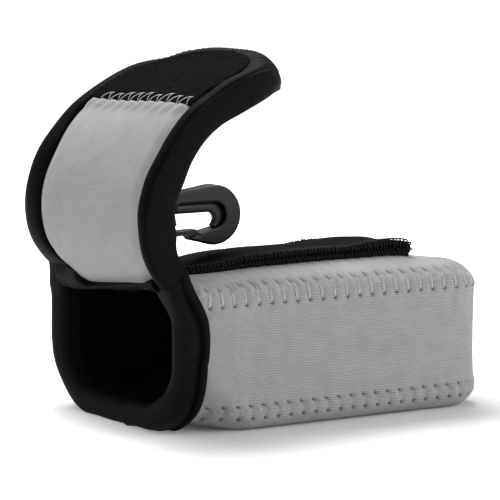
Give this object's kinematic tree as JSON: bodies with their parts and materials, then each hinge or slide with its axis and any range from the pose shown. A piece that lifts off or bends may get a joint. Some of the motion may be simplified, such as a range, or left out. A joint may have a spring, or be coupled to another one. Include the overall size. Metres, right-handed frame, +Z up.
{
  "type": "camera case",
  "caption": "Soft neoprene camera pouch with a fold-over flap, hook-and-loop patches, a belt loop and a swivelling snap hook on a webbing tab.",
  "frame": {"origin": "middle of the pouch's underside, on the flat of the front panel that the case lies on", "axes": "+X from the mouth to the closed end, +Y across the pouch, +Z up from the front panel to the back panel"},
  "size_m": [0.1564, 0.0986, 0.1392],
  "materials": {
    "grey_neoprene": "light grey knit face on foam rubber, satin, fine ribs",
    "black_lining": "black brushed lining cloth",
    "black_binding": "black stretch binding over padding, stitched",
    "loop_tape": "black loop pile tape",
    "hook_tape": "black hook tape, dull",
    "black_strap": "black strap cloth with overlocked edges",
    "black_webbing": "black woven webbing",
    "black_plastic": "moulded black acetal, satin"
  },
  "bodies": {
    "pouch": {"front_panel": "grey_neoprene", "side_gusset": "grey_neoprene", "back_panel": "grey_neoprene", "pouch_lining": "black_lining", "mouth_binding": "black_binding", "mouth_top_binding": "black_binding", "loop_patch": "loop_tape", "belt_loop": "black_strap"},
    "flap_1": {"flap_outer_layer_1": "grey_neoprene", "flap_inner_layer_1": "grey_neoprene", "flap_binding_near_1": "black_binding", "flap_binding_far_1": "black_binding"},
    "flap_2": {"flap_outer_layer_2": "grey_neoprene", "flap_inner_layer_2": "grey_neoprene", "flap_binding_near_2": "black_binding", "flap_binding_far_2": "black_binding"},
    "flap_3": {"flap_outer_layer_3": "grey_neoprene", "flap_inner_layer_3": "grey_neoprene", "flap_binding_near_3": "black_binding", "flap_binding_far_3": "black_binding"},
    "flap_4": {"flap_outer_layer_4": "grey_neoprene", "flap_inner_layer_4": "grey_neoprene", "flap_hook_patch_4": "hook_tape", "flap_binding_near_4": "black_binding", "flap_binding_far_4": "black_binding"},
    "flap_5": {"flap_outer_layer_5": "grey_neoprene", "flap_inner_layer_5": "grey_neoprene", "flap_hook_patch_5": "hook_tape", "flap_binding_near_5": "black_binding", "flap_binding_far_5": "black_binding"},
    "flap_6": {"flap_outer_layer_6": "grey_neoprene", "flap_inner_layer_6": "grey_neoprene", "flap_hook_patch_6": "hook_tape", "flap_binding_tip": "black_binding"},
    "tab": {"webbing_tab": "black_webbing"},
    "eye": {"hook_eye": "black_plastic"},
    "hook": {"snap_hook": "black_plastic"},
    "gate": {"hook_gate": "black_plastic"}
  },
  "joints": [
    {"name": "flap_hinge", "type": "hinge", "parent": "pouch", "child": "flap_1", "pos_m": [-0.0745, 0, 0.057], "axis": [0, -1, 0], "range_deg": [0, 152.5]},
    {"name": "flap_bend_2", "type": "hinge", "parent": "flap_1", "child": "flap_2", "pos_m": [-0.08377, 0, 0.07644], "axis": [0, -1, 0], "range_deg": [0, 31.5]},
    {"name": "flap_bend_3", "type": "hinge", "parent": "flap_2", "child": "flap_3", "pos_m": [-0.07945, 0, 0.0977], "axis": [0, -1, 0], "range_deg": [0, 55]},
    {"name": "flap_bend_4", "type": "hinge", "parent": "flap_3", "child": "flap_4", "pos_m": [-0.06597, 0, 0.11495], "axis": [0, -1, 0], "range_deg": [0, 98]},
    {"name": "flap_bend_5", "type": "hinge", "parent": "flap_4", "child": "flap_5", "pos_m": [-0.04789, 0, 0.12737], "axis": [0, -1, 0], "range_deg": [0, 3.5]},
    {"name": "flap_bend_6", "type": "hinge", "parent": "flap_5", "child": "flap_6", "pos_m": [-0.02736, 0, 0.13515], "axis": [0, -1, 0], "range_deg": [0, 8]},
    {"name": "tab_tilt", "type": "hinge", "parent": "pouch", "child": "tab", "pos_m": [-0.0601, 0, 0.0608], "axis": [0, 1, 0], "range_deg": [-15, 0]},
    {"name": "eye_tilt", "type": "hinge", "parent": "tab", "child": "eye", "pos_m": [-0.0629, 0, 0.077], "axis": [0, 1, 0], "range_deg": [-35, 0]},
    {"name": "hook_swivel", "type": "hinge", "parent": "eye", "child": "hook", "pos_m": [-0.0551, 0, 0.077], "axis": [1, 0, 0], "continuous": true},
    {"name": "gate_spring", "type": "hinge", "parent": "hook", "child": "gate", "pos_m": [-0.0458, 0, 0.0705], "axis": [0, -1, 0], "range_deg": [0, 22], "stiffness_Nm_per_rad": 0.05}
  ],
  "couplings": [
    {"joint": "flap_bend_2", "follows": "flap_hinge", "ratio": 0.20656},
    {"joint": "flap_bend_3", "follows": "flap_hinge", "ratio": 0.36066},
    {"joint": "flap_bend_4", "follows": "flap_hinge", "ratio": 0.64262},
    {"joint": "flap_bend_5", "follows": "flap_hinge", "ratio": 0.02295},
    {"joint": "flap_bend_6", "follows": "flap_hinge", "ratio": 0.052458}
  ]
}
